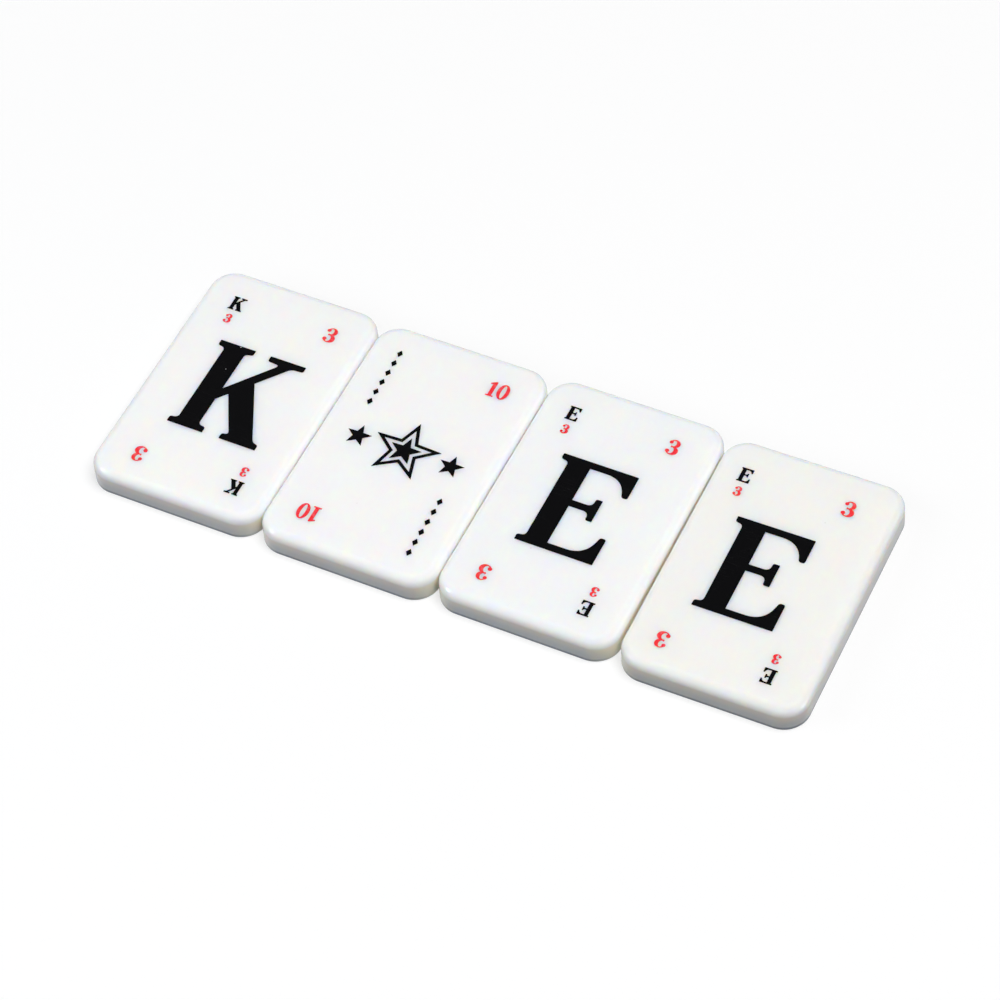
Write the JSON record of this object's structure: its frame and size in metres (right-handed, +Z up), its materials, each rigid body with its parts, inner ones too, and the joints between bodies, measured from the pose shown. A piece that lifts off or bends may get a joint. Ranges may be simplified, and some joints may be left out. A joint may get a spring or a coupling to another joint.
{
  "type": "row of letter tiles",
  "caption": "Row of loose, thick moulded plastic letter tiles with rounded corners and rolled edges, laid side by side face up for a word game.",
  "frame": {"origin": "middle of the row in plan, on the surface that the tiles lie on", "axes": "+X along the row, left tile to right tile; +Y up the letters; +Z up, out of the printed faces"},
  "size_m": [0.105, 0.0404, 0.0042],
  "materials": {
    "soft_white_plastic": "gloss moulded, soft white",
    "cool_white_plastic": "gloss moulded, cool white",
    "warm_white_plastic": "gloss moulded, warm ivory white",
    "black_ink": "printed, smooth black",
    "red_ink": "printed, smooth red"
  },
  "bodies": {
    "root": {"letter_tile_1": "soft_white_plastic", "wild_tile": "soft_white_plastic", "letter_tile_2": "cool_white_plastic", "letter_tile_3": "warm_white_plastic"}
  },
  "joints": []
}
